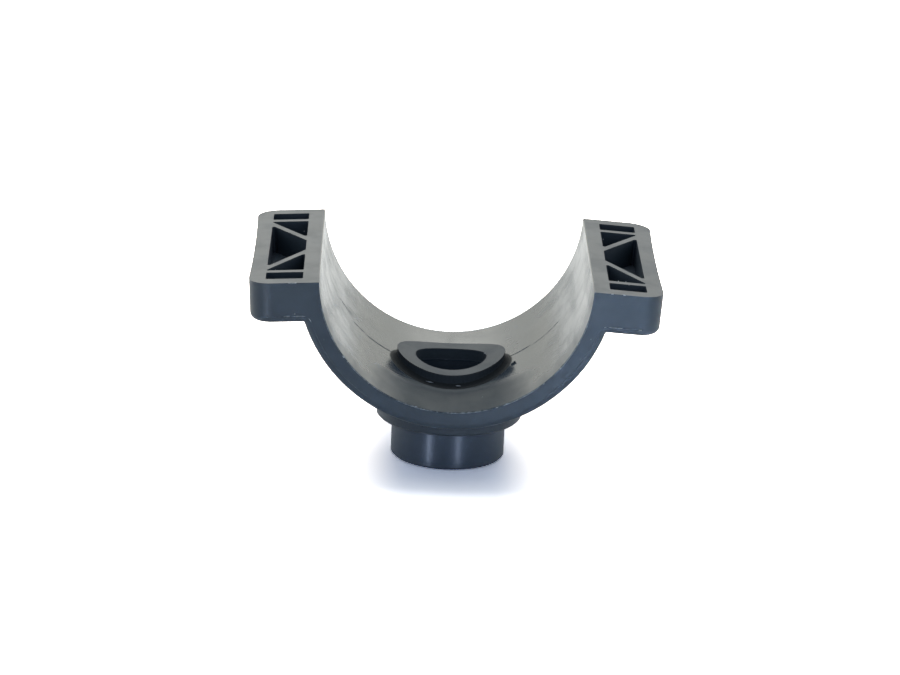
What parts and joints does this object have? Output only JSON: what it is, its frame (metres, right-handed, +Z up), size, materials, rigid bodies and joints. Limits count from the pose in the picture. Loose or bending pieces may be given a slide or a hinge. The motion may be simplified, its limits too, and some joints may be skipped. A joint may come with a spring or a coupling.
{
  "type": "tapping saddle half",
  "caption": "Outlet half of a plastic tapping saddle: half-round pipe seat with a raised collar, hollow ribbed clamping flanges and a solvent-weld outlet socket.",
  "frame": {"origin": "where the axis of the pipe in the seat crosses the axis of the outlet, at half the saddle's length", "axes": "+Y along the pipe, +X across the two clamping flanges, +Z up out of the open side of the seat; the outlet points down, -Z"},
  "size_m": [0.0956, 0.064, 0.0507],
  "materials": {
    "grey_pvc": "satin dark slate grey, as moulded"
  },
  "bodies": {
    "root": {"saddle_half": "grey_pvc"}
  },
  "joints": []
}
